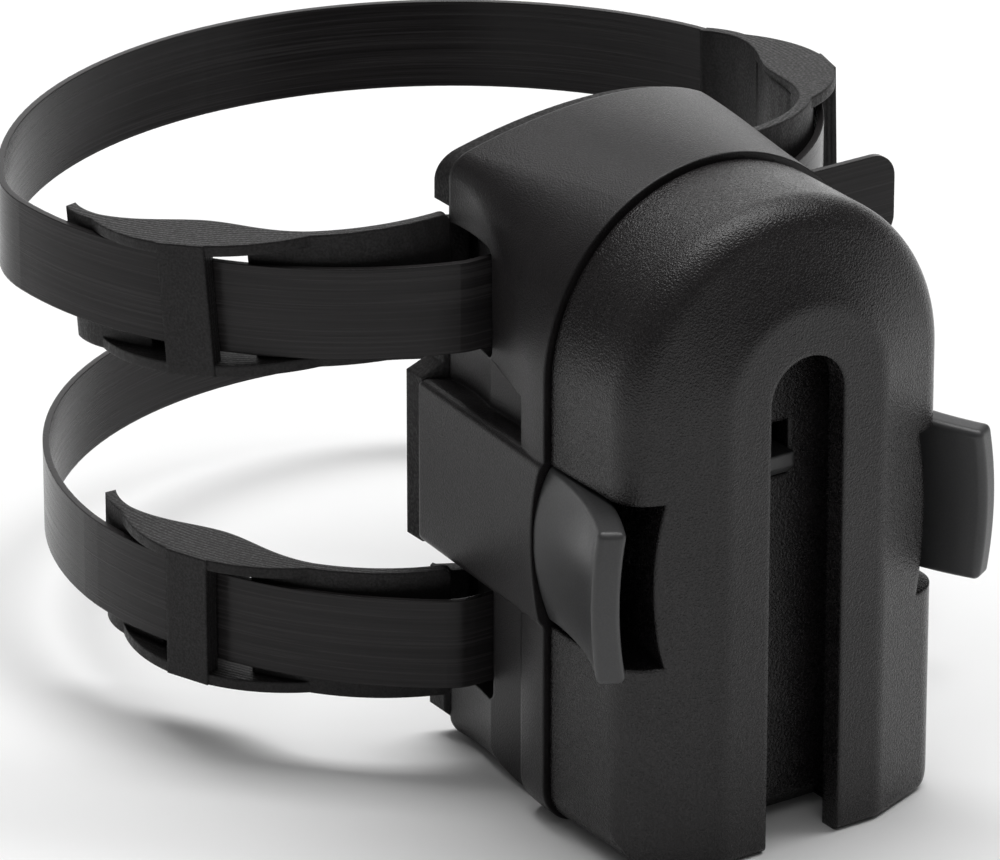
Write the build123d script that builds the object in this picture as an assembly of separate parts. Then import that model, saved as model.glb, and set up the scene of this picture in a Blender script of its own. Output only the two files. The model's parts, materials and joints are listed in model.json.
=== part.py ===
from build123d import *
import math
import os

# Bracket that carries a folding bicycle lock on a frame tube.
# X runs across the bracket, +Y points at the frame tube and +Z is up.
# The origin is the middle of the rubber seat, where the tube touches it.
# All sizes are in millimetres and all angles in degrees.

# Frame tube and rubber seat
tube_radius = 40.0
liner_thickness = 3.0
liner_gap = 0.1
liner_inset = 1.0
liner_shoulder = 5.0
liner_slant = 2.2

# Body, shared by both housings
front_depth = 49.0
body_drop = 43.2
body_corner = 6.0
back_corner = 4.0
arch_height = 19.8
rim_radius = 25.6
rim_depth = 22.0
rim_band = 6.0
wall = 2.5
pin_fit = 0.02
screw_fit = 0.05
part_gap = 0.3

# Front housing
shell_radius = 24.8
shadow_gap = 0.6
band_half_width = 12.2
band_round = 4.0
facet_angle = 21.0
shoulder_radius = 5.0
bottom_round = 1.2
spigot_wall = 2.0
spigot_length = 3.0

# Channel that takes the lock's foot
slot_half_width = 5.75
lip_thickness = 3.4
channel_half_width = 10.0
channel_depth = 4.4
channel_back = 2.5
channel_lead_in = 3.4
window_half_width = 2.6
window_bottom = 5.9
window_height = 7.6

# Rear housing
hood_rise = 0.4
hood_shoulder = 6.0
hood_middle_depth = 10.0
hood_middle_shoulder = 11.0
hood_middle_spread = 0.3
hood_split = 60.0
cavity_half_width = 19.0
cavity_radius = 22.5
side_wall_x = 21.5
seat_floor = 4.5
arm_proud = 0.5
arm_taper = 2.2
arm_half_height = 11.7
arm_wall = 2.3
arm_scoop = 2.5
arm_edge_round = 1.2

# Release levers
lever_drop = 2.65
lever_swing = 10.5
pivot_inset = 8.6
pivot_depth = 21.5
pin_radius = 1.5
pin_length = 29.0
pin_play = 0.06
hub_radius = 3.1
boss_length = 3.7
blade_thickness = 3.7
blade_flush = 0.4
blade_root_depth = 25.0
blade_root_angle = 1.5
blade_turn = 28.5
blade_radius = 48.3
blade_gap = 0.4
blade_bow_radius = 48.0
blade_root_half = 11.0
blade_tip_half = 10.5
blade_round = 0.9
web_width = 4.4
web_sink = 2.0
web_turn = 5.5
finger_reach = 10.6
finger_depth = 35.6
finger_round = 1.2
finger_half_height = 3.2
elbow_reach = 6.9
pocket_half_height = 11.45
pocket_back_x = 17.4
pocket_front_x = 21.4
pocket_front_depth = 46.2
pocket_wall = 2.0
guard_stop = 6.6

# Latch between the levers
tooth_half_width = 2.4
tooth_bottom = 6.2
tooth_height = 3.3
tooth_reach = 1.6
tooth_ramp = 1.4
crossbar_margin = 0.5
crossbar_depth = 3.0
latch_drop = 9.0
latch_play = 0.35
rail_thickness = 1.8
rail_bottom = 2.5
spring_radius = 3.0
spring_wire = 0.35
spring_turns = 8
spring_seat = 1.0
spring_post_radius = 2.2
spring_post_length = 8.0

# Straps
strap_width = 12.5
strap_thickness = 0.9
upper_strap_rise = 23.25
lower_strap_drop = 24.6
strap_play = 0.05
strap_tail = 44.0
tail_round = 3.5
strap_overlap = 6.0
slot_exit_x = 23.0
slot_bend = 6.0
quarter_turn = 90.0
slot_wall_x = 17.2
slot_front_depth = 9.5
upper_slot_above = 7.9
lower_slot_above = 8.95
upper_slot_below = 7.3
lower_slot_below = 8.35
slot_corner = 1.5
liner_lobe_rise = 2.1

# Loop extremes as (x, y): furthest left, furthest back and furthest right,
# and the roundness of the left and right far corners
upper_loop = ((-60.7, 42.5), (-8.1, 81.5), (50.5, 31.0))
lower_loop = ((-50.8, 40.8), (3.4, 93.7), (56.0, 43.0))
upper_corners = (0.5, 0.75)
lower_corners = (0.75, 0.75)

# Rubber pads threaded on the straps
pad_length = 57.5
pad_swing = 6.0
pad_flange = 1.5
pad_wall = 1.6
pad_play = 0.4
pad_clearance = 1.3
pad_bar_share = 0.614
pad_bar_width = 6.7
pad_bar_thickness = 2.3
pad_lens = 16.0
pad_bulge = 3.2
pad_sink = 1.3
pad_slot_sink = 3.0
pad_window = 14.8
pad_tip_round = 3.5
pad_slot_round = 1.2
pad_start = -0.5
upper_pad_tilt = 4.5

# Strap clamps and screws
plate_width = 15.0
plate_height = 24.0
plate_thickness = 2.0
plate_round = 2.0
clamp_screw_offset = 9.4
screw_radius = 1.45
screw_head_radius = 2.7
screw_head_height = 2.0
screw_socket = 1.25
screw_socket_depth = 1.2
clamp_screw_length = 5.2
housing_screw_inset = 11.3
housing_screw_rise = 13.2
housing_screw_foot = 7.2
housing_screw_length = 15.0
housing_head_depth = 3.6
post_radius = 3.2

# Places worked out from the sizes above
body_bottom = -body_drop
lever_height = -lever_drop
latch_bottom = -latch_drop
strap_end = -strap_overlap
arm_front_x = rim_radius + arm_proud
arm_back_x = arm_front_x - arm_taper
pivot_x = arm_front_x - pivot_inset
pivot_y = -pivot_depth
blade_root_x = arm_front_x - blade_flush - blade_thickness / 2
blade_root_y = -blade_root_depth
finger_x = pivot_x - finger_reach
finger_y = -finger_depth
elbow_x = pivot_x - elbow_reach
pocket_front_y = -pocket_front_depth
crossbar_half_width = finger_x + crossbar_margin
strap_levels = {"upper": upper_strap_rise, "lower": -lower_strap_drop}
slot_front_y = -slot_front_depth
housing_screw_x = shell_radius - housing_screw_inset
front_y = -front_depth
rim_y = front_y + rim_depth
shell_back_y = rim_y - shadow_gap
channel_front_y = front_y + lip_thickness
channel_back_y = channel_front_y + channel_depth
cavity_front_y = channel_back_y + channel_back
saddle_radius = tube_radius + liner_thickness + liner_gap
floor_y = -liner_thickness - seat_floor
run_y = floor_y + strap_play + strap_thickness / 2
end_y = run_y + strap_thickness + strap_play
channel_end_y = end_y + strap_thickness / 2 + strap_play
back_y = 20.0
screw_clear_radius = screw_radius + screw_fit


def front_plane(y):
    """Plane at depth y whose own x is X and whose own y is Z."""
    return Plane(origin=(0, y, 0), x_dir=(1, 0, 0), z_dir=(0, -1, 0))


def along_y(face, y_start, y_end):
    """Extrude a face drawn in X and Z from one depth to another."""
    return extrude(front_plane(y_end) * face, amount=y_end - y_start)


def along_z(face, z_start, z_end):
    """Extrude a face drawn in X and Y from one height to another."""
    return extrude(Pos(0, 0, z_start) * face, amount=z_end - z_start)


def block(x_range, y_range, z_range):
    """Box between two limits on each axis."""
    sizes = [limits[1] - limits[0] for limits in (x_range, y_range, z_range)]
    low_corner = (Align.MIN, Align.MIN, Align.MIN)
    return Pos(x_range[0], y_range[0], z_range[0]) * Box(*sizes, align=low_corner)


def rod_y(x, z, radius, y_start, y_end):
    """Round bar along Y."""
    return along_y(Pos(x, z) * Circle(radius), y_start, y_end)


def rod_z(x, y, radius, z_start, z_end):
    """Round bar along Z."""
    return along_z(Pos(x, y) * Circle(radius), z_start, z_end)


def arch_foot(half_width, top, corner):
    """Height at which an arch with rounded shoulders meets its straight sides."""
    lean = math.radians(hood_split)
    crown = corner + (half_width - corner) / math.cos(lean)
    return top - crown + (crown - corner) * math.sin(lean)


def arch_edges(half_width, top, corner):
    """Arch from its right foot to its left: a shoulder arc, a flatter crown, a shoulder arc."""
    foot = arch_foot(half_width, top, corner)
    shoulder = []
    for share in (0, 0.5, 1):
        turn = math.radians(hood_split * share)
        shoulder.append((half_width - corner + corner * math.cos(turn), foot + corner * math.sin(turn)))
    other = [(-x, z) for x, z in reversed(shoulder)]
    return [
        ThreePointArc(*shoulder),
        ThreePointArc(shoulder[-1], (0, top), other[0]),
        ThreePointArc(*other),
    ]


def arch_outline(half_width, top, corner, floor, floor_corner):
    """Closed outline in X and Z of an arch on straight sides with rounded bottom corners."""
    foot = arch_foot(half_width, top, corner)
    inner = half_width - floor_corner
    raised = floor + floor_corner
    slack = floor_corner * (1 - math.sqrt(0.5))
    edges = arch_edges(half_width, top, corner)
    edges.append(Line((-half_width, foot), (-half_width, raised)))
    edges.append(ThreePointArc((-half_width, raised), (slack - half_width, floor + slack), (-inner, floor)))
    edges.append(Line((-inner, floor), (inner, floor)))
    edges.append(ThreePointArc((inner, floor), (half_width - slack, floor + slack), (half_width, raised)))
    edges.append(Line((half_width, raised), (half_width, foot)))
    return make_face(edges)


def tombstone(half_width, floor, floor_corner=0.0):
    """Round-topped outline in X and Z about the shared arch centre."""
    if floor_corner > 0:
        return arch_outline(half_width, arch_height + half_width, half_width, floor, floor_corner)
    right = (half_width, arch_height)
    left = (-half_width, arch_height)
    edges = [
        Line((-half_width, floor), (half_width, floor)),
        Line((half_width, floor), right),
        ThreePointArc(right, (0, arch_height + half_width), left),
        Line(left, (-half_width, floor)),
    ]
    return make_face(edges)


def both_sides(shape):
    """A shape and its mirror image across the middle of the bracket."""
    return shape + mirror(shape, about=Plane.YZ)


def bowed(face):
    """Sweep a plan outline of the right side up and down along the lever's bow."""
    axis_x = blade_root_x + blade_thickness / 2 - blade_bow_radius
    axis = Axis((axis_x, 0, lever_height), (0, -1, 0))
    half_turn = 30.0
    swept = revolve(Pos(0, 0, lever_height) * face, axis=axis, revolution_arc=2 * half_turn)
    return swept.rotate(axis, -half_turn)


# Front housing

def corner_waste(half_width):
    """Outline of what is cut away to round the right bottom corner."""
    inner = half_width - body_corner
    raised = body_bottom + body_corner
    slack = body_corner * (1 - math.sqrt(0.5))
    midway = (half_width - slack, body_bottom + slack)
    bend = ThreePointArc((half_width, raised), midway, (inner, body_bottom))
    outside = half_width + wall
    below = body_bottom - wall
    rest = Polyline(
        (inner, body_bottom),
        (inner, below),
        (outside, below),
        (outside, raised),
        (half_width, raised),
    )
    return make_face([bend] + list(rest.edges()))


def front_outer():
    corner_y = front_y + (shell_radius - band_half_width) * math.tan(math.radians(facet_angle))
    outline = FilletPolyline(
        (0, front_y),
        (band_half_width, front_y),
        (shell_radius, corner_y),
        (shell_radius, shell_back_y),
        radius=[band_round, shoulder_radius],
    )
    closing = Polyline((shell_radius, shell_back_y), (0, shell_back_y), (0, front_y))
    half = make_face(outline.edges() + closing.edges())
    sides = both_sides(along_z(half, body_bottom, arch_height))
    crown_axis = Axis((0, 0, arch_height), (0, -1, 0))
    crown = revolve(Pos(0, 0, arch_height) * half, axis=crown_axis, revolution_arc=180)
    shell = sides + crown
    foot = shell.edges().filter_by_position(Axis.Z, body_bottom, body_bottom)
    foot = foot.filter_by(lambda edge: edge.center().Y < shell_back_y - wall)
    foot = foot.filter_by(lambda edge: abs(edge.center().X) < shell_radius - part_gap)
    shell = fillet(foot, bottom_round)
    return shell - both_sides(along_y(corner_waste(shell_radius), front_y - wall, shell_back_y + wall))


def lever_pocket():
    """Hollow beside the lever, deep enough for the pressed blade, on the right side."""
    outer = arm_front_x + blade_bow_radius
    plan = Polyline(
        (pocket_back_x, rim_y + rim_band / 2),
        (pocket_front_x, pocket_front_y),
        (outer, front_y - rim_band),
        (outer, rim_y + rim_band / 2),
        close=True,
    )
    height = (lever_height - pocket_half_height, lever_height + pocket_half_height)
    limits = block((0, outer), (front_y - rim_band, rim_y + rim_band / 2), height)
    return bowed(make_face(plan)) & limits


def front_housing():
    shell = front_outer()
    floor = body_bottom + wall
    spigot_radius = cavity_radius - part_gap
    inner_radius = spigot_radius - spigot_wall
    inner_floor = floor + part_gap + spigot_wall
    spigot = tombstone(spigot_radius, floor + part_gap, body_corner - wall)
    shell += along_y(spigot, cavity_front_y, shell_back_y + spigot_length)
    inside = tombstone(inner_radius, inner_floor)
    cavity = along_y(inside, cavity_front_y, shell_back_y + spigot_length + wall)
    pocket_limit = pocket_back_x - pocket_wall - pocket_wall
    guard_height = pocket_half_height + pocket_wall
    guard = block(
        (pocket_limit, shell_radius),
        (cavity_front_y, elbow_guard_y()),
        (lever_height - guard_height, lever_height + guard_height),
    )
    shell -= cavity - both_sides(guard)
    shell -= both_sides(lever_pocket())
    slot = tombstone(slot_half_width, body_bottom - wall)
    shell -= along_y(slot, front_y - wall, channel_back_y)
    channel = tombstone(channel_half_width, body_bottom - wall)
    shell -= along_y(channel, channel_front_y, channel_back_y)
    lead_in = Polyline(
        (channel_back_y - wall, body_bottom + channel_lead_in),
        (channel_back_y, body_bottom + channel_lead_in),
        (channel_back_y + channel_lead_in, body_bottom),
        (channel_back_y + channel_lead_in, body_bottom - wall),
        (channel_back_y - wall, body_bottom - wall),
        close=True,
    )
    side_plane = Plane(origin=(-channel_half_width, 0, 0), x_dir=(0, 1, 0), z_dir=(1, 0, 0))
    shell -= extrude(side_plane * make_face(lead_in), amount=2 * channel_half_width)
    window = block(
        (-window_half_width, window_half_width),
        (channel_back_y - wall, cavity_front_y + wall),
        (window_bottom, window_bottom + window_height),
    )
    shell -= window
    for x, z in housing_screw_places():
        shell += rod_y(x, z, post_radius, cavity_front_y - part_gap, floor_y - part_gap)
        shell -= rod_y(x, z, screw_clear_radius, floor_y - housing_screw_length, floor_y)
    rail_x = crossbar_half_width + latch_play
    rail = block(
        (rail_x, rail_x + rail_thickness),
        (cavity_front_y - part_gap, crossbar_front_y() + crossbar_depth + tooth_reach),
        (rail_bottom, tooth_bottom + tooth_height),
    )
    return shell + both_sides(rail)


def elbow_guard_y():
    """Where the wall behind the lever pocket stops, to let the lever's arm pass."""
    return rim_y - guard_stop


# Rear housing

def rear_outer():
    """Hood that leaves the round rim and draws in to straight sides with tighter shoulders."""
    rim_top = arch_height + rim_radius
    hood_top = rim_top + hood_rise
    neck_x = rim_radius - hood_middle_spread / 2
    middle_x = side_wall_x + hood_middle_spread
    sections = [
        (rim_y, rim_radius, rim_top, rim_radius, body_corner),
        (rim_y + rim_band / 2, neck_x, rim_top + hood_rise / 4, rim_radius - 1, body_corner),
        (-hood_middle_depth, middle_x, hood_top, hood_middle_shoulder, back_corner),
        (hood_shoulder, side_wall_x, hood_top, hood_shoulder, back_corner),
    ]
    faces = []
    for y, half_width, top, corner, floor_corner in sections:
        outline = arch_outline(half_width, top, corner, body_bottom, floor_corner)
        faces.append(front_plane(y) * outline)
    hood = loft(faces)
    return hood - rod_z(0, tube_radius, saddle_radius, body_bottom - wall, back_y * 3)


def strap_slot_heights():
    """Bottom and top of the side openings for the lower and the upper strap."""
    lower = (-lower_strap_drop - lower_slot_below, -lower_strap_drop + lower_slot_above)
    upper = (upper_strap_rise - upper_slot_below, upper_strap_rise + upper_slot_above)
    return (lower, upper)


def lever_bay():
    """Room for one lever's hub and root inside the arm, on the right side."""
    half = blade_root_half + part_gap
    return block(
        (pivot_x - hub_radius - part_gap, arm_front_x - arm_wall),
        (rim_y - wall, pivot_y + hub_radius + 2 * part_gap),
        (lever_height - half, lever_height + half),
    )


def rear_housing():
    body = rear_outer()
    lower_slot, upper_slot = strap_slot_heights()
    arm_top = lever_height + arm_half_height
    arm_bottom = lever_height - arm_half_height
    outside = arm_front_x + rim_band
    step = block((side_wall_x, outside), (rim_y + rim_band, back_y), (body_bottom - wall, upper_slot[0]))
    body -= both_sides(step)

    arm_plan = Polyline(
        (cavity_half_width, rim_y),
        (arm_front_x, rim_y),
        (arm_back_x, hood_shoulder),
        (cavity_half_width, hood_shoulder),
        close=True,
    )
    arm = along_z(make_face(arm_plan), arm_bottom, arm_top)
    outer_edges = arm.faces().sort_by(Axis.X)[-1].edges()
    long_edges = outer_edges.filter_by(lambda edge: edge.length > rim_band + rim_depth)
    arm = fillet(long_edges, arm_edge_round)
    arm -= rod_z(0, tube_radius, saddle_radius, arm_bottom - wall, arm_top + wall)
    scoop_plane = Plane(origin=(side_wall_x, 0, 0), x_dir=(0, 1, 0), z_dir=(1, 0, 0))
    scoop_place = Pos(scoop_centre_y(), lever_height)
    scoop = extrude(scoop_plane * (scoop_place * Circle(scoop_radius())), amount=outside - side_wall_x)
    body = body + both_sides(arm) - both_sides(scoop)

    inside = tombstone(cavity_radius, body_bottom + wall, body_corner - wall)
    mouth = along_y(inside, rim_y - wall, rim_y + rim_band - wall)
    deep = along_y(inside, rim_y - wall, floor_y)
    deep &= block(
        (-cavity_half_width, cavity_half_width),
        (rim_y - wall, floor_y),
        (body_bottom, arch_height + rim_radius),
    )
    body -= mouth + deep
    body -= both_sides(lever_bay())

    bay_half = blade_root_half + part_gap
    for z, reach in ((lever_height + bay_half, boss_length), (lever_height - bay_half, -boss_length)):
        boss = rod_z(pivot_x, pivot_y, hub_radius, min(z, z + reach), max(z, z + reach))
        bracket = block(
            (pivot_x, side_wall_x - part_gap),
            (pivot_y - hub_radius, pivot_y + hub_radius),
            (min(z, z + reach), max(z, z + reach)),
        )
        body += both_sides(boss + bracket)
    pin_hole = rod_z(pivot_x, pivot_y, pin_radius + pin_fit, *pin_heights())
    body -= both_sides(pin_hole)

    for level, heights in ((-lower_strap_drop, lower_slot), (upper_strap_rise, upper_slot)):
        half = strap_width / 2 + part_gap
        groove = block(
            (-rim_radius, rim_radius),
            (floor_y - part_gap, channel_end_y),
            (level - half, level + half),
        )
        opening = block((slot_wall_x, rim_radius + wall), (slot_front_y, back_y), heights)
        front_edges = opening.edges().filter_by(Axis.X).sort_by(Axis.Y)[:2]
        opening = fillet(front_edges, slot_corner)
        body -= groove + both_sides(opening)
        for z in clamp_screw_heights(level):
            depth = clamp_screw_length - plate_thickness + part_gap
            body -= rod_y(0, z, screw_clear_radius, floor_y - wall, floor_y + depth)
    for x, z in housing_screw_places():
        body -= rod_y(x, z, screw_clear_radius, floor_y - wall, back_y)
        body -= rod_y(x, z, screw_head_radius + part_gap, housing_head_y(), back_y)
    body += rod_y(0, lever_height, spring_post_radius, floor_y - spring_post_length, floor_y + wall / 2)
    return body


def scoop_radius():
    """Radius of the hollow front edge of the arm, where the lever's rounded root sits."""
    return (arm_half_height ** 2 + arm_scoop ** 2) / (2 * arm_scoop)


def scoop_centre_y():
    return rim_y + arm_scoop - scoop_radius()


def pin_heights():
    return (lever_height - pin_length / 2, lever_height + pin_length / 2)


def clamp_screw_heights(level):
    return (level - clamp_screw_offset, level + clamp_screw_offset)


def housing_screw_places():
    """X and Z of the four screws that hold the housings together."""
    heights = (body_bottom + housing_screw_foot, arch_height + housing_screw_rise)
    return [(x, z) for z in heights for x in (-housing_screw_x, housing_screw_x)]


def housing_head_y():
    """Where the heads of the housing screws seat, below the saddle's surface."""
    surface = tube_radius - math.sqrt(saddle_radius ** 2 - housing_screw_x ** 2)
    return surface - housing_head_depth


# Rubber seat

def saddle_liner():
    lower_slot, upper_slot = strap_slot_heights()
    arm_top = lever_height + arm_half_height
    arm_bottom = lever_height - arm_half_height
    top = arch_height + rim_radius + hood_rise - liner_inset
    crown_x = side_wall_x - liner_inset
    wing = arm_back_x - part_gap
    neck = slot_wall_x - part_gap
    side = side_wall_x - part_gap
    lobe_bottom = upper_slot[1] + liner_lobe_rise
    right = [
        (crown_x, arch_foot(crown_x, top, liner_shoulder)),
        (crown_x, lobe_bottom),
        (neck, lobe_bottom),
        (neck, upper_slot[0] - part_gap),
        (side, upper_slot[0] - part_gap),
        (side, arm_top + liner_slant),
        (wing, arm_top),
        (wing, arm_bottom),
        (side, arm_bottom),
        (side, lower_slot[1] + part_gap),
        (neck, lower_slot[1] + part_gap),
        (neck, lower_slot[0] - part_gap),
        (side, lower_slot[0] - part_gap),
        (side, body_bottom + back_corner),
        (side - back_corner, body_bottom + part_gap),
    ]
    left = [(-x, z) for x, z in reversed(right)]
    arch = arch_edges(crown_x, top, liner_shoulder)
    outline = make_face(arch + list(Polyline(*right, *left).edges()))
    ring = Circle(tube_radius + liner_thickness) - Circle(tube_radius)
    ring = along_z(Pos(0, tube_radius) * ring, body_bottom, arch_height + 2 * rim_radius)
    return ring & along_y(outline, -liner_thickness - wall, back_y)


# Levers, drawn on the right side

def blade_point(turned, offset):
    """Point on the blade's plan after the given turn, offset from its middle line outwards."""
    start = math.radians(blade_root_angle)
    angle = math.radians(blade_root_angle + turned)
    centre_x = blade_root_x + blade_radius * math.cos(start)
    centre_y = blade_root_y + blade_radius * math.sin(start)
    radius = blade_radius - offset
    return (centre_x - radius * math.cos(angle), centre_y - radius * math.sin(angle))


def blade():
    half = blade_thickness / 2
    middle = blade_turn / 2
    sides = []
    for offset in (half, -half):
        sides.append(ThreePointArc(*[blade_point(turned, offset) for turned in (0, middle, blade_turn)]))
    ends = [Line(blade_point(turned, half), blade_point(turned, -half)) for turned in (0, blade_turn)]
    swept = bowed(make_face(sides + ends))
    tip = blade_point(blade_turn, 0)
    root_radius = scoop_radius() - blade_gap
    root_y = scoop_centre_y() + math.sqrt(root_radius ** 2 - blade_root_half ** 2)
    root_top = (root_y, lever_height + blade_root_half)
    root_bottom = (root_y, lever_height - blade_root_half)
    taper = Polyline(
        root_top,
        (tip[1] - wall, lever_height + blade_tip_half),
        (tip[1] - wall, lever_height - blade_tip_half),
        root_bottom,
    )
    root_arc = ThreePointArc(root_bottom, (scoop_centre_y() + root_radius, lever_height), root_top)
    side_plane = Plane(origin=(0, 0, 0), x_dir=(0, 1, 0), z_dir=(1, 0, 0))
    profile = make_face(list(taper.edges()) + [root_arc])
    limits = extrude(side_plane * profile, amount=arm_front_x + blade_bow_radius)
    plate = swept & limits
    tip_edges = plate.edges().filter_by(lambda edge: edge.center().Y < blade_root_y - wall)
    return fillet(tip_edges, blade_round)


def stretch(start, end, width):
    """Plan of a bar with round ends between two points."""
    length = math.dist(start, end)
    angle = math.degrees(math.atan2(end[1] - start[1], end[0] - start[0]))
    middle = ((start[0] + end[0]) / 2, (start[1] + end[1]) / 2)
    return Pos(*middle) * Rot(0, 0, angle) * SlotCenterToCenter(length, width)


def right_lever():
    pivot = (pivot_x, pivot_y)
    root = blade_point(web_turn, -web_sink)
    hub_half = blade_root_half
    lever = blade()
    lever += rod_z(pivot_x, pivot_y, hub_radius, lever_height - hub_half, lever_height + hub_half)
    web_half = blade_tip_half - wall
    web = stretch(pivot, root, web_width)
    lever += along_z(web, lever_height - web_half, lever_height + web_half)
    elbow = (elbow_x, finger_y)
    finger = (finger_x, finger_y)
    arm = stretch(pivot, elbow, 2 * finger_round) + stretch(elbow, finger, 2 * finger_round)
    lever += along_z(arm, lever_height - finger_half_height, lever_height + finger_half_height)
    return lever - rod_z(pivot_x, pivot_y, pin_radius + pin_play, *pin_heights())


def right_lever_pin():
    return rod_z(pivot_x, pivot_y, pin_radius, *pin_heights())


# Latch and its spring

def crossbar_front_y():
    return finger_y + finger_round + part_gap


def latch():
    top = tooth_bottom + tooth_height
    front = channel_back_y - tooth_reach
    bar_front = crossbar_front_y()
    tooth = block((-tooth_half_width, tooth_half_width), (front, bar_front), (tooth_bottom, top))
    ramp_edge = tooth.edges().filter_by(Axis.X).sort_by(Axis.Y)[:2].sort_by(Axis.Z)[0]
    tooth = chamfer(ramp_edge, tooth_ramp)
    stem_front = cavity_front_y + latch_play
    stem = block((-tooth_half_width, tooth_half_width), (stem_front, bar_front), (latch_bottom, top))
    bar = block(
        (-crossbar_half_width, crossbar_half_width),
        (bar_front, bar_front + crossbar_depth),
        (latch_bottom, top),
    )
    seat = rod_y(0, lever_height, spring_radius + spring_wire + part_gap,
                 bar_front + crossbar_depth - spring_seat, bar_front + crossbar_depth)
    return tooth + stem + bar - seat


def latch_spring():
    start = crossbar_front_y() + crossbar_depth - spring_seat + spring_wire
    length = floor_y - spring_wire - start
    coil = Helix(pitch=length / spring_turns, height=length, radius=spring_radius, direction=(0, 1, 0),
                 center=(0, start, lever_height))
    section = Plane(origin=coil @ 0, z_dir=coil % 0) * Circle(spring_wire)
    return sweep(section, path=coil)


# Straps

def side_circle(extreme, side, level_y):
    """Centre and radius of the arc that runs from the slot bend to the loop's widest point."""
    across = side * extreme[0] - slot_exit_x
    along = extreme[1] - level_y - slot_bend
    radius = (across ** 2 + along ** 2 - slot_bend ** 2) / (2 * (across - slot_bend))
    return ((extreme[0] - side * radius, extreme[1]), radius)


def start_heading(extreme, side, level_y):
    """Angle, from straight ahead, at which the strap leaves its slot bend."""
    centre, radius = side_circle(extreme, side, level_y)
    across = slot_exit_x - side * centre[0]
    along = centre[1] - level_y - slot_bend
    return math.degrees(math.atan2(across, along))


def loop_arcs(loop, corners):
    """Arcs of a strap loop from the left slot round to the right one: centre, radius, start, sweep."""
    left, back, right = loop
    arcs = []
    sides = ((left, -1, run_y, corners[0]), (right, 1, end_y, corners[1]))
    for extreme, side, level_y, roundness in sides:
        centre, radius = side_circle(extreme, side, level_y)
        heading = start_heading(extreme, side, level_y)
        bend_centre = (side * slot_exit_x, level_y + slot_bend)
        wide = abs(back[0] - extreme[0])
        deep = back[1] - extreme[1]
        corner = roundness * min(wide, deep)
        far = (wide ** 2 + deep ** 2 - 2 * wide * corner) / (2 * (deep - corner))
        corner_centre = (extreme[0] - side * corner, extreme[1])
        far_centre = (back[0], back[1] - far)
        rise = corner_centre[1] - far_centre[1]
        run = side * (corner_centre[0] - far_centre[0])
        meet = math.degrees(math.atan2(rise, run))
        half = [
            (bend_centre, slot_bend, 0, heading),
            (centre, radius, heading, quarter_turn - heading),
            (corner_centre, corner, quarter_turn, meet),
            (far_centre, far, quarter_turn + meet, quarter_turn - meet),
        ]
        arcs.append((side, half))
    return arcs


def on_circle(centre, radius, heading, side):
    """Point on a loop's circle, by its angle from straight ahead towards the given side."""
    turn = math.radians(heading)
    return (centre[0] + side * radius * math.sin(turn), centre[1] - radius * math.cos(turn))


def strap(loop, corners, level):
    half = strap_thickness / 2
    edges = []
    for side, arcs in loop_arcs(loop, corners):
        for centre, radius, start, sweep_angle in arcs:
            for offset in (half, -half):
                points = [
                    on_circle(centre, radius + offset, start + sweep_angle * share, side)
                    for share in (0, 0.5, 1)
                ]
                edges.append(ThreePointArc(*points))
    for offset in (half, -half):
        edges.append(Line((-slot_exit_x, run_y - offset), (strap_tail, run_y - offset)))
        edges.append(Line((slot_exit_x, end_y - offset), (strap_end, end_y - offset)))
    edges.append(Line((strap_tail, run_y - half), (strap_tail, run_y + half)))
    edges.append(Line((strap_end, end_y - half), (strap_end, end_y + half)))
    band = along_z(make_face(edges), level - strap_width / 2, level + strap_width / 2)
    tail = band.edges().filter_by(Axis.Y).filter_by_position(Axis.X, strap_tail, strap_tail)
    return fillet(tail, tail_round)


# Pads

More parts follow.
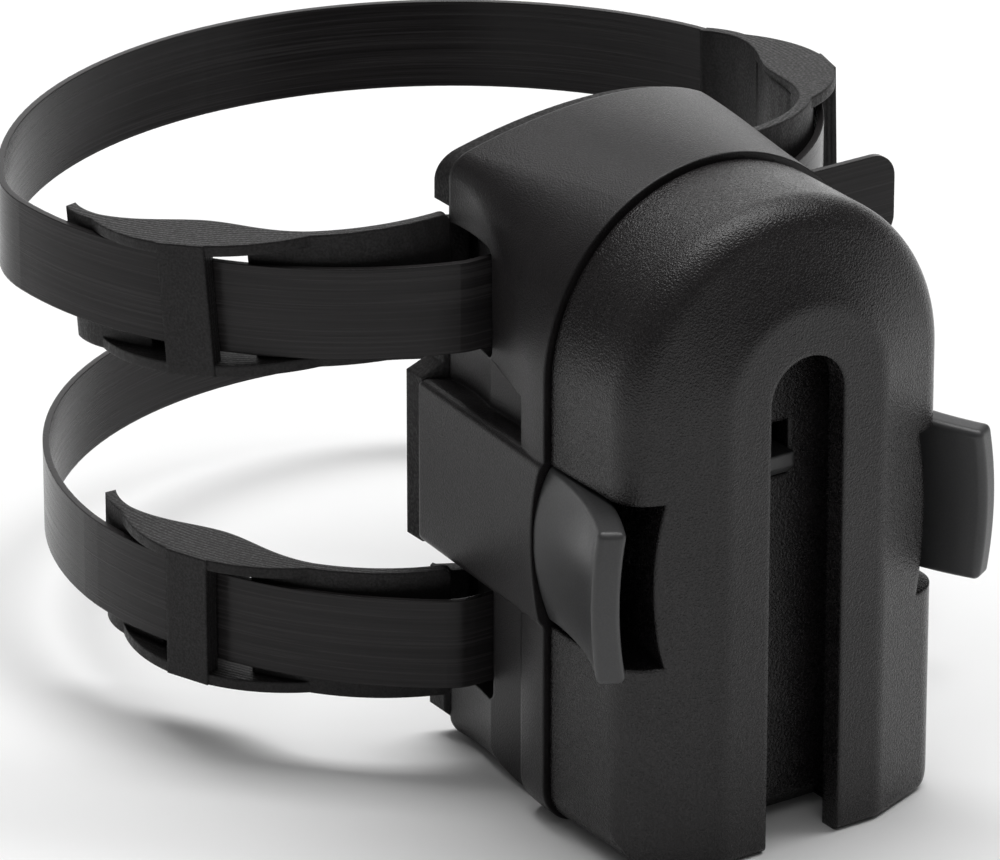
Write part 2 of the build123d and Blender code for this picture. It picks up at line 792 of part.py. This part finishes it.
def pad(extreme, side, level_y, level, tilt):
    """Two lens-shaped flanges joined by an outer bar and by wings that lie inside the strap."""
    centre, radius = side_circle(extreme, side, level_y)
    degrees = 180 / (math.pi * radius)
    first = start_heading(extreme, side, level_y) + pad_start * degrees
    last = first + pad_length * degrees
    middle = first + pad_bar_share * (last - first)
    lens = pad_lens * degrees

    def spot(offset, angle):
        return on_circle(centre, radius + offset, angle, side)

    def wing_arc(offset, lens_end, tip, sink):
        halfway = spot(offset - sink / 4, (lens_end + tip) / 2)
        return ThreePointArc(spot(offset, lens_end), halfway, spot(offset - sink, tip))

    inner = -strap_thickness / 2 - pad_play
    back = inner - pad_wall
    outer = strap_thickness / 2 + pad_play
    near = middle - lens
    far = middle + lens
    bulge_steps = ((0, -1), (0.5, -0.5), (1, 0), (0.5, 0.5), (0, 1))
    bulge = Spline(*[spot(back - pad_bulge * depth, middle + lens * share) for depth, share in bulge_steps])
    edges = [bulge]
    for lens_end, tip, sink in ((near, first, pad_slot_sink), (far, last, pad_sink)):
        edges.append(wing_arc(inner, lens_end, tip, sink))
        edges.append(wing_arc(back, lens_end, tip, sink))
        edges.append(Line(spot(inner - sink, tip), spot(back - sink, tip)))
    edges.append(ThreePointArc(spot(inner, near), spot(outer + pad_bar_thickness, middle), spot(inner, far)))
    clear = strap_width / 2 + pad_clearance
    tall = clear + pad_flange
    solid = along_z(make_face(edges), level - tall, level + tall)
    ends = solid.edges().filter_by(lambda edge: edge.length < pad_wall + pad_play)
    ends = ends.filter_by(lambda edge: abs(edge.center().Z - level) > clear)
    slot_ends = ends.filter_by(lambda edge: abs(edge.center().X) < slot_exit_x + pad_slot_sink)
    tip_ends = ends.filter_by(lambda edge: abs(edge.center().X) > slot_exit_x + pad_slot_sink)
    solid = fillet(tip_ends, pad_tip_round)
    solid = fillet(slot_ends, pad_slot_round)
    passage = Pos(*centre) * (Circle(radius + pad_lens) - Circle(radius + inner))
    solid -= along_z(passage, level - clear, level + clear)
    turn = Pos(*centre) * Rot(0, 0, side * middle - quarter_turn)
    window_plan = turn * Pos(radius + inner - pad_lens, 0) * Rectangle(2 * pad_lens, pad_window)
    solid -= along_z(window_plan, level - clear, level + clear)
    bar_x = radius + outer + pad_bar_thickness / 2
    bar_plan = turn * Pos(bar_x, 0) * Rectangle(pad_bar_thickness, pad_bar_width)
    solid += along_z(bar_plan, level - tall, level + tall)
    hold = spot(0, middle)
    outward = spot(1, middle)
    axis = Axis((*hold, level), (outward[0] - hold[0], outward[1] - hold[1], 0))
    return solid.rotate(axis, -side * tilt)


# Clamps and screws

def clamp_plate(level):
    plan = RectangleRounded(plate_width, plate_height, plate_round)
    for offset in (-clamp_screw_offset, clamp_screw_offset):
        plan -= Pos(0, offset) * Circle(screw_clear_radius)
    return along_y(Pos(0, level) * plan, floor_y - plate_thickness, floor_y)


def screw(x, z, seat_y, length, direction):
    """Round-headed screw along Y, its shank pointing the given way from the seat."""
    head = rod_y(x, z, screw_head_radius, *sorted((seat_y, seat_y - direction * screw_head_height)))
    top = seat_y - direction * screw_head_height
    rim = head.edges().filter_by_position(Axis.Y, top, top)
    head = fillet(rim, screw_head_height / 3)
    socket = Pos(x, z) * RegularPolygon(screw_socket, 6)
    head -= along_y(socket, *sorted((top, top + direction * screw_socket_depth)))
    return head + rod_y(x, z, screw_radius, *sorted((seat_y, seat_y + direction * length)))


def build_parts():
    parts = {
        "front_housing": front_housing(),
        "rear_housing": rear_housing(),
        "saddle_liner": saddle_liner(),
        "right_lever": right_lever(),
        "right_lever_pin": right_lever_pin(),
        "latch": latch(),
        "latch_spring": latch_spring(),
    }
    for name in ("lever", "lever_pin"):
        parts["left_" + name] = mirror(parts["right_" + name], about=Plane.YZ)
    tilts = {"upper": upper_pad_tilt, "lower": 0.0}
    loops = (("upper", upper_loop, upper_corners), ("lower", lower_loop, lower_corners))
    for row, loop, corners in loops:
        level = strap_levels[row]
        parts[row + "_strap"] = strap(loop, corners, level)
        parts[row + "_left_pad"] = pad(loop[0], -1, run_y, level, tilts[row])
        parts[row + "_right_pad"] = pad(loop[2], 1, end_y, level, tilts[row])
        parts[row + "_clamp_plate"] = clamp_plate(level)
        for count, z in enumerate(clamp_screw_heights(level), 1):
            seat = floor_y - plate_thickness
            parts[f"{row}_clamp_screw_{count}"] = screw(0, z, seat, clamp_screw_length, 1)
    for count, (x, z) in enumerate(housing_screw_places(), 1):
        parts[f"housing_screw_{count}"] = screw(x, z, housing_head_y(), housing_screw_length, -1)
    return parts


os.makedirs("parts", exist_ok=True)
for node, shape in build_parts().items():
    export_step(shape, f"parts/{node}.step")
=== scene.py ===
import json
import math

import bmesh
import bpy
from mathutils import Matrix, Vector


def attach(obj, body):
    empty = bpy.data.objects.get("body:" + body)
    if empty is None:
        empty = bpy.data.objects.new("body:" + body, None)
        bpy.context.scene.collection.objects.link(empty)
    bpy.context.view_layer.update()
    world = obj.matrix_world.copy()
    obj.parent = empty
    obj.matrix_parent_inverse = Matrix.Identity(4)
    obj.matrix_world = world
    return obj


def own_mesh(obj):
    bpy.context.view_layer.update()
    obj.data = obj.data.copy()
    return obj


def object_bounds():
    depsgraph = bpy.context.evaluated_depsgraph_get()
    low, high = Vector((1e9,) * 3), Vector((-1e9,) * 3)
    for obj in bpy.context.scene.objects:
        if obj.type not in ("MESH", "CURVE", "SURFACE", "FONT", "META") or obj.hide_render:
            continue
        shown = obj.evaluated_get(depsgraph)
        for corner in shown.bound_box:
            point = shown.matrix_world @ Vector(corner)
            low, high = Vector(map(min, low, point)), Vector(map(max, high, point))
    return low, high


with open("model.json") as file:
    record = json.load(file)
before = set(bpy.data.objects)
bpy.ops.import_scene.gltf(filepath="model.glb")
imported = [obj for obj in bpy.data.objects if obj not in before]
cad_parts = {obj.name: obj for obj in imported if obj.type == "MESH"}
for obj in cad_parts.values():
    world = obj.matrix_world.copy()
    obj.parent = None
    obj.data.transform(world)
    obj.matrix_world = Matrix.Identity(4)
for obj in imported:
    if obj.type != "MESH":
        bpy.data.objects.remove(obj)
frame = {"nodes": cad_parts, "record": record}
cad_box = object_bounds()
nodes = frame["nodes"]
joints = frame["record"]["behaviour"]["joints"]

# Camera, as it stood for the photograph
image_width = 1000
image_height = 860
camera_azimuth = math.radians(-34)
camera_elevation = math.radians(24)
camera_distance = 1.1
pixels_per_metre = 7900
focal_pixels = pixels_per_metre * camera_distance
sensor_width = 36.0
slot_arch_centre = Vector((0, -0.049, 0.0198))
slot_arch_pixel = (808.5, 398)


# Small helpers for shader nodes and new pieces

def add_node(tree, kind, **values):
    """New node in a tree, with its inputs or properties set by name."""
    node = tree.nodes.new(kind)
    for name, value in values.items():
        if name in node.inputs:
            node.inputs[name].default_value = value
        else:
            setattr(node, name, value)
    return node


def new_material(name):
    """Empty material with a Principled shader at its output."""
    material = bpy.data.materials.new(name)
    material.use_nodes = True
    tree = material.node_tree
    tree.nodes.clear()
    shader = add_node(tree, "ShaderNodeBsdfPrincipled")
    output = add_node(tree, "ShaderNodeOutputMaterial")
    tree.links.new(shader.outputs["BSDF"], output.inputs["Surface"])
    return material, tree, shader


def new_group(name, inputs, outputs):
    """Shader node group with named float or vector inputs and float outputs."""
    group = bpy.data.node_groups.new(name, "ShaderNodeTree")
    for socket_name, kind in inputs:
        group.interface.new_socket(socket_name, in_out="INPUT", socket_type=kind)
    for socket_name in outputs:
        group.interface.new_socket(socket_name, in_out="OUTPUT", socket_type="NodeSocketFloat")
    start = group.nodes.new("NodeGroupInput")
    end = group.nodes.new("NodeGroupOutput")
    return group, start, end


def place_group(tree, group, vector, **values):
    """Put a node group in a material, fed with a vector and its own values."""
    node = tree.nodes.new("ShaderNodeGroup")
    node.node_tree = group
    tree.links.new(vector, node.inputs["Vector"])
    for name, value in values.items():
        node.inputs[name.replace("_", " ")].default_value = value
    return node


def object_coordinates(tree):
    """Place on the piece, in metres."""
    return add_node(tree, "ShaderNodeTexCoord").outputs["Object"]


def spread(tree, value, low, high):
    """Map a 0 to 1 value to a range."""
    node = add_node(tree, "ShaderNodeMapRange")
    node.inputs["To Min"].default_value = low
    node.inputs["To Max"].default_value = high
    tree.links.new(value, node.inputs["Value"])
    return node.outputs["Result"]


def sharpen(tree, value, low, high):
    """Map a range of a value to 0 to 1."""
    node = add_node(tree, "ShaderNodeMapRange")
    node.inputs["From Min"].default_value = low
    node.inputs["From Max"].default_value = high
    tree.links.new(value, node.inputs["Value"])
    return node.outputs["Result"]


def shade_between(tree, value, dark, pale):
    """Colour that goes from dark to pale with a 0 to 1 value."""
    node = add_node(tree, "ShaderNodeMix", data_type="RGBA")
    dark_input, pale_input = (socket for socket in node.inputs if socket.type == "RGBA")
    dark_input.default_value = (*dark, 1)
    pale_input.default_value = (*pale, 1)
    tree.links.new(value, node.inputs[0])
    return next(socket for socket in node.outputs if socket.type == "RGBA")


def bump(tree, shader, height, depth, edge_radius):
    """Relief from a height, over edges that are rounded by the given radius."""
    edge = add_node(tree, "ShaderNodeBevel", samples=edge_samples, Radius=edge_radius)
    node = add_node(tree, "ShaderNodeBump", Strength=1.0, Distance=depth)
    tree.links.new(edge.outputs["Normal"], node.inputs["Normal"])
    tree.links.new(height, node.inputs["Height"])
    tree.links.new(node.outputs["Normal"], shader.inputs["Normal"])


def new_piece(name, shape, material):
    """Object in the scene from a finished bmesh."""
    mesh = bpy.data.meshes.new(name)
    shape.to_mesh(mesh)
    shape.free()
    mesh.materials.append(material)
    piece = bpy.data.objects.new(name, mesh)
    bpy.context.scene.collection.objects.link(piece)
    return piece


# Shared surface effects
edge_samples = 6
glint_span = (0.42, 0.66)
tone_span = (0.35, 0.65)
grain_share = 0.7
patch_share = 0.3


def make_grain_group():
    """Eroded grain of a moulding: a close pebble grain, its glints, and its change of tone."""
    group, start, end = new_group(
        "Moulded grain",
        [
            ("Vector", "NodeSocketVector"),
            ("Grains per metre", "NodeSocketFloat"),
            ("Patches per metre", "NodeSocketFloat"),
        ],
        ["Height", "Glint", "Tone"],
    )
    grains = add_node(group, "ShaderNodeTexNoise", Detail=2.0, Roughness=0.5)
    patches = add_node(group, "ShaderNodeTexNoise", Detail=4.0, Roughness=0.6)
    for texture in (grains, patches):
        group.links.new(start.outputs["Vector"], texture.inputs["Vector"])
    group.links.new(start.outputs["Grains per metre"], grains.inputs["Scale"])
    group.links.new(start.outputs["Patches per metre"], patches.inputs["Scale"])
    height = grains.outputs["Fac"]
    slow = add_node(group, "ShaderNodeMath", operation="MULTIPLY")
    slow.inputs[1].default_value = patch_share
    group.links.new(patches.outputs["Fac"], slow.inputs[0])
    mixed = add_node(group, "ShaderNodeMath", operation="MULTIPLY_ADD")
    mixed.inputs[1].default_value = grain_share
    group.links.new(height, mixed.inputs[0])
    group.links.new(slow.outputs["Value"], mixed.inputs[2])
    group.links.new(height, end.inputs["Height"])
    group.links.new(sharpen(group, height, *glint_span), end.inputs["Glint"])
    group.links.new(sharpen(group, mixed.outputs["Value"], *tone_span), end.inputs["Tone"])
    return group


def make_streak_group():
    """Long fine lines, drawn out along one direction by the vector that is fed in."""
    group, start, end = new_group(
        "Drawn streaks",
        [("Vector", "NodeSocketVector"), ("Lines per metre", "NodeSocketFloat")],
        ["Height", "Tone"],
    )
    lines = add_node(group, "ShaderNodeTexNoise", Detail=4.0, Roughness=0.65)
    group.links.new(start.outputs["Vector"], lines.inputs["Vector"])
    group.links.new(start.outputs["Lines per metre"], lines.inputs["Scale"])
    height = lines.outputs["Fac"]
    group.links.new(height, end.inputs["Height"])
    group.links.new(sharpen(group, height, *tone_span), end.inputs["Tone"])
    return group


grain = make_grain_group()
streaks = make_streak_group()

# Depths, spacings and edge rounding of the finishes, in metres
shell_grain_depth = 0.00013
hood_grain_depth = 0.00006
lever_grain_depth = 0.000012
seat_grain_depth = 0.0001
pad_grain_depth = 0.00005
steel_grain_depth = 0.00001
strap_line_depth = 0.00002
pad_ridge_spacing = 0.00065
shell_edge_radius = 0.0009
moulding_edge_radius = 0.0005
lever_edge_radius = 0.0007
strap_edge_radius = 0.00025
steel_edge_radius = 0.0002

# Colours of the plastics, rubbers and steel, darkest and palest patch
shell_dark, shell_pale = (0.0030, 0.0024, 0.0026), (0.0200, 0.0180, 0.0186)
hood_dark, hood_pale = (0.0040, 0.0032, 0.0035), (0.0180, 0.0162, 0.0168)
lever_dark, lever_pale = (0.043, 0.043, 0.044), (0.053, 0.053, 0.054)
seat_dark, seat_pale = (0.0055, 0.0048, 0.0050), (0.0165, 0.0150, 0.0154)
strap_dark, strap_pale = (0.0135, 0.0124, 0.0127), (0.0320, 0.0300, 0.0305)
pad_dark, pad_pale = (0.0070, 0.0063, 0.0065), (0.0165, 0.0153, 0.0156)
steel_dark, steel_pale = (0.42, 0.42, 0.43), (0.60, 0.60, 0.61)

# Roughness from the dull to the bright end of a finish's pattern, and gloss
strap_rough = (0.2, 0.3)
strap_gloss = 0.16
pad_rough = (0.6, 0.42)
pad_gloss = 0.25
steel_rough = (0.25, 0.45)

# Lines of the straps in each direction, per metre, and ridges of the pads
strap_line_stretch = (22, 22, 2600)
ring_unit = 20
ridge_waver = 1.2
ridge_waver_scale = 0.3
ridge_share = 0.6


# Finishes

def grained_moulding(name, dark, pale, grains, depth, rough, gloss, edge):
    """Moulded plastic or rubber with an eroded grain."""
    material, tree, shader = new_material(name)
    effect = place_group(tree, grain, object_coordinates(tree), Grains_per_metre=grains, Patches_per_metre=90)
    tree.links.new(shade_between(tree, effect.outputs["Tone"], dark, pale), shader.inputs["Base Color"])
    tree.links.new(spread(tree, effect.outputs["Glint"], *rough), shader.inputs["Roughness"])
    shader.inputs["Specular IOR Level"].default_value = gloss
    bump(tree, shader, effect.outputs["Height"], depth, edge)
    return material


def drawn_band(name):
    """Strap plastic with fine lines along its length, which runs level."""
    material, tree, shader = new_material(name)
    mapping = add_node(tree, "ShaderNodeMapping")
    mapping.inputs["Scale"].default_value = strap_line_stretch
    tree.links.new(object_coordinates(tree), mapping.inputs["Vector"])
    effect = place_group(tree, streaks, mapping.outputs["Vector"], Lines_per_metre=1.0)
    colour = shade_between(tree, effect.outputs["Tone"], strap_dark, strap_pale)
    tree.links.new(colour, shader.inputs["Base Color"])
    tree.links.new(spread(tree, effect.outputs["Tone"], *strap_rough), shader.inputs["Roughness"])
    shader.inputs["Specular IOR Level"].default_value = strap_gloss
    bump(tree, shader, effect.outputs["Height"], strap_line_depth, strap_edge_radius)
    return material


def lined_rubber(name, centre):
    """Pad rubber with fine ridges round the middle of the strap's bend."""
    material, tree, shader = new_material(name)
    coordinates = object_coordinates(tree)
    mapping = add_node(tree, "ShaderNodeMapping", vector_type="POINT")
    mapping.inputs["Location"].default_value = (-centre[0], -centre[1], 0)
    tree.links.new(coordinates, mapping.inputs["Vector"])
    ridges = add_node(tree, "ShaderNodeTexWave", wave_type="RINGS", rings_direction="Z")
    ridges.inputs["Scale"].default_value = 2 * math.pi / (ring_unit * pad_ridge_spacing)
    ridges.inputs["Distortion"].default_value = ridge_waver
    ridges.inputs["Detail Scale"].default_value = ridge_waver_scale
    tree.links.new(mapping.outputs["Vector"], ridges.inputs["Vector"])
    effect = place_group(tree, grain, coordinates, Grains_per_metre=3200, Patches_per_metre=140)
    relief = add_node(tree, "ShaderNodeMath", operation="MULTIPLY_ADD")
    relief.inputs[1].default_value = ridge_share
    tree.links.new(ridges.outputs["Fac"], relief.inputs[0])
    tree.links.new(effect.outputs["Height"], relief.inputs[2])
    colour = shade_between(tree, effect.outputs["Tone"], pad_dark, pad_pale)
    tree.links.new(colour, shader.inputs["Base Color"])
    tree.links.new(spread(tree, effect.outputs["Glint"], *pad_rough), shader.inputs["Roughness"])
    shader.inputs["Specular IOR Level"].default_value = pad_gloss
    bump(tree, shader, relief.outputs["Value"], pad_grain_depth, moulding_edge_radius)
    return material


def plain_steel(name):
    """Bare steel of the pins, plates, screws and spring."""
    material, tree, shader = new_material(name)
    shader.inputs["Metallic"].default_value = 1.0
    effect = place_group(tree, grain, object_coordinates(tree), Grains_per_metre=4000, Patches_per_metre=500)
    colour = shade_between(tree, effect.outputs["Tone"], steel_dark, steel_pale)
    tree.links.new(colour, shader.inputs["Base Color"])
    tree.links.new(spread(tree, effect.outputs["Tone"], *steel_rough), shader.inputs["Roughness"])
    bump(tree, shader, effect.outputs["Height"], steel_grain_depth, steel_edge_radius)
    return material


shell_finish = grained_moulding(
    "grained black shell", shell_dark, shell_pale, grains=3700, depth=shell_grain_depth,
    rough=(0.3, 0.13), gloss=0.35, edge=shell_edge_radius)
hood_finish = grained_moulding(
    "satin black hood", hood_dark, hood_pale, grains=4600, depth=hood_grain_depth,
    rough=(0.4, 0.3), gloss=0.35, edge=moulding_edge_radius)
lever_finish = grained_moulding(
    "satin grey lever", lever_dark, lever_pale, grains=3800, depth=lever_grain_depth,
    rough=(0.36, 0.3), gloss=0.4, edge=lever_edge_radius)
seat_finish = grained_moulding(
    "matt seat rubber", seat_dark, seat_pale, grains=2400, depth=seat_grain_depth,
    rough=(0.7, 0.5), gloss=0.3, edge=moulding_edge_radius)
strap_finish = drawn_band("drawn strap")
steel_finish = plain_steel("plain steel")

finish_of_slot = {
    "front_shell": shell_finish,
    "rear_shell": hood_finish,
    "seat_rubber": seat_finish,
    "strap": strap_finish,
    "lever": lever_finish,
    "latch": lever_finish,
    "steel": steel_finish,
}
pad_centres = {joint["child"]: joint["pos_m"] for joint in joints if joint["child"].endswith("_pad")}
for entry in frame["record"]["subparts"]:
    name = entry["node"]
    if name in pad_centres:
        finish = lined_rubber(name.replace("_", " ") + " rubber", pad_centres[name])
    else:
        finish = finish_of_slot[entry["material_slot"]]
    node = nodes[name]
    node.data.materials.clear()
    node.data.materials.append(finish)


# Bellies of the pads, on the tube side between their flanges
bar_corner_margin = 0.0001
bar_corner_reach = 0.0033
window_half = 0.0081
lens_half = 0.016
belly_start = {-1: 0.0, 1: -0.0095}
belly_end = 0.0095
belly_sink = 0.45
belly_depth = 0.00258
belly_bulge = 0.0032
belly_wall = 0.0014
belly_half_height = 0.0082
belly_steps = 16
belly_rows = 4
belly_sharp_angle = math.radians(40)


def pad_belly(pad_name):
    """Ridged wall on a pad's window, in line with the flanges' bulge.

    Places along the strap are counted from the pad's bar, away from the body, so the wall takes
    half of the window at left and all of it at right. Past the window its ends sink into the pad.
    """
    pad = nodes[pad_name]
    centre = Vector(pad_centres[pad_name])
    corners = [vertex.co - centre for vertex in pad.data.vertices]
    reach = max(corner.xy.length for corner in corners)
    bar_corners = [corner for corner in corners if corner.xy.length > reach - bar_corner_margin]
    bar_middle = sum(bar_corners, Vector()) / len(bar_corners)
    side = 1 if bar_middle.x > 0 else -1
    bar_heading = math.atan2(side * bar_middle.x, -bar_middle.y)
    strap_radius = reach - bar_corner_reach
    shape = bmesh.new()
    bmesh.ops.create_grid(shape, x_segments=belly_steps, y_segments=belly_rows, size=0.5)
    for vertex in shape.verts:
        along = belly_start[side] + (vertex.co.x + 0.5) * (belly_end - belly_start[side])
        heading = bar_heading + along / strap_radius
        depth = belly_depth + belly_bulge * (1 + math.cos(math.pi * along / lens_half)) / 2
        past_window = max(0, abs(along) - window_half)
        radius = strap_radius - depth + past_window * belly_sink
        across = side * radius * math.sin(heading)
        back = -radius * math.cos(heading)
        height = 2 * vertex.co.y * belly_half_height
        vertex.co = centre + Vector((across, back, height))
    shape.normal_update()
    first = shape.faces[:][0]
    if first.normal.dot(first.calc_center_median() - centre) > 0:
        bmesh.ops.reverse_faces(shape, faces=shape.faces[:])
    bmesh.ops.solidify(shape, geom=shape.faces[:], thickness=belly_wall)
    belly = new_piece(pad_name + "_belly", shape, pad.data.materials[0])
    belly.data.shade_smooth()
    belly.data.set_sharp_from_angle(angle=belly_sharp_angle)
    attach(belly, pad_name)


for pad_name in pad_centres:
    pad_belly(pad_name)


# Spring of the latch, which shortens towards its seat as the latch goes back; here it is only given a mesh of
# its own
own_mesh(nodes["latch_spring"])


# Rubber flaps that carry the seat on across the strap openings
tube_radius = 0.040
seat_inner = 0.04005
seat_outer = 0.04295
flap_start = 0.0167
flap_end = 0.0212
flap_steps = 12
flap_corner = 0.0016
flap_corner_steps = 5
flap_edge_round = 0.0004
flap_edge_steps = 2
flap_sharp_angle = math.radians(40)
upper_flap_bottom, upper_flap_top = 0.01605, 0.03105
lower_flap_bottom, lower_flap_top = -0.03285, -0.0188


def round_edges(shape, edges, radius, steps):
    """Round the given edges of a bmesh."""
    bmesh.ops.bevel(
        shape, geom=edges, offset=radius, offset_type="OFFSET", affect="EDGES", segments=steps, profile=0.5,
        material=-1)


def seat_flap(name, side, bottom, top):
    """Curved strip of the seat, which closes the back of one strap opening."""
    turn = math.asin(flap_start / tube_radius)
    sweep = math.asin(flap_end / tube_radius) - turn
    shape = bmesh.new()
    outline = []
    for radius, height in ((seat_inner, bottom), (seat_outer, bottom), (seat_outer, top), (seat_inner, top)):
        place = (side * radius * math.sin(turn), tube_radius - radius * math.cos(turn), height)
        outline.append(shape.verts.new(place))
    profile = shape.faces.new(outline)
    swept = bmesh.ops.spin(
        shape, geom=[*shape.verts, *shape.edges, profile], cent=(0, tube_radius, 0), axis=(0, 0, 1),
        angle=side * sweep, steps=flap_steps)
    end = {item for item in swept["geom_last"] if isinstance(item, bmesh.types.BMVert)}
    bmesh.ops.recalc_face_normals(shape, faces=shape.faces)
    corners = [
        edge for edge in shape.edges
        if set(edge.verts) <= end and edge.verts[0].co.z == edge.verts[1].co.z
    ]
    round_edges(shape, corners, flap_corner, flap_corner_steps)
    sharp = [edge for edge in shape.edges if edge.calc_face_angle(0) > flap_sharp_angle]
    round_edges(shape, sharp, flap_edge_round, flap_edge_steps)
    flap = new_piece(name, shape, seat_finish)
    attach(flap, "bracket")


for side_name, side in (("left", -1), ("right", 1)):
    seat_flap(f"upper_{side_name}_flap", side, upper_flap_bottom, upper_flap_top)
    seat_flap(f"lower_{side_name}_flap", side, lower_flap_bottom, lower_flap_top)


# Floor, light and camera
floor_half = 6.0
floor_colour = (0.88, 0.88, 0.88, 1)
floor_rough = 0.9
floor_gloss = 0.1
room_light = 0.14


def make_floor():
    """White sheet under the object, which takes its shadow."""
    material, tree, shader = new_material("white floor")
    shader.inputs["Base Color"].default_value = floor_colour
    shader.inputs["Roughness"].default_value = floor_rough
    shader.inputs["Specular IOR Level"].default_value = floor_gloss
    level = Matrix.Translation((0, 0, cad_box[0].z))
    shape = bmesh.new()
    bmesh.ops.create_grid(shape, x_segments=1, y_segments=1, size=floor_half, matrix=level)
    floor = new_piece("floor", shape, material)


def make_world():
    """Dim grey room round the lamps."""
    world = bpy.data.worlds.new("grey studio")
    bpy.context.scene.world = world
    world.use_nodes = True
    tree = world.node_tree
    tree.nodes.clear()
    background = add_node(tree, "ShaderNodeBackground", Color=(1, 1, 1, 1), Strength=room_light)
    output = add_node(tree, "ShaderNodeOutputWorld")
    tree.links.new(background.outputs["Background"], output.inputs["Surface"])


def softbox(name, place, size, glow, turn=0):
    """Panel that faces the object, as bright as a white sheet times its glow."""
    light = bpy.data.lights.new(name, "AREA")
    light.shape = "RECTANGLE"
    light.size, light.size_y = size
    light.energy = math.pi * size[0] * size[1] * glow
    lamp = bpy.data.objects.new(name, light)
    bpy.context.scene.collection.objects.link(lamp)
    aim = (-Vector(place)).to_track_quat("-Z", "Y").to_matrix().to_4x4()
    lamp.matrix_world = Matrix.Rotation(turn, 4, "Z") @ Matrix.Translation(place) @ aim


def make_camera():
    """Camera that puts the middle of the slot's arch where the photograph has it."""
    flat = math.cos(camera_elevation)
    rise = math.sin(camera_elevation)
    back = Vector((math.sin(camera_azimuth) * flat, -math.cos(camera_azimuth) * flat, rise))
    right = Vector((math.cos(camera_azimuth), math.sin(camera_azimuth), 0))
    up = back.cross(right)
    across = (slot_arch_pixel[0] - image_width / 2) / focal_pixels * camera_distance
    above = (image_height / 2 - slot_arch_pixel[1]) / focal_pixels * camera_distance
    place = slot_arch_centre - across * right - above * up + camera_distance * back
    data = bpy.data.cameras.new("camera")
    data.sensor_width = sensor_width
    data.sensor_fit = "HORIZONTAL"
    data.lens = focal_pixels * sensor_width / image_width
    camera = bpy.data.objects.new("camera", data)
    camera.matrix_world = Matrix.Translation(place) @ Matrix((right, up, back)).transposed().to_4x4()
    bpy.context.scene.collection.objects.link(camera)
    bpy.context.scene.camera = camera


make_floor()
make_world()
softbox("overhead softbox", place=(0.3, 0.1, 3.0), size=(4.2, 4.2), glow=0.8)
softbox("strip softbox", place=(0.0, 0.8, 2.9), size=(3.6, 1.2), glow=6.2, turn=math.radians(-48))
softbox("back softbox", place=(1.6, 3.1, 0.85), size=(4.2, 1.6), glow=1.3)
make_camera()
bpy.context.scene.view_settings.view_transform = "Standard"
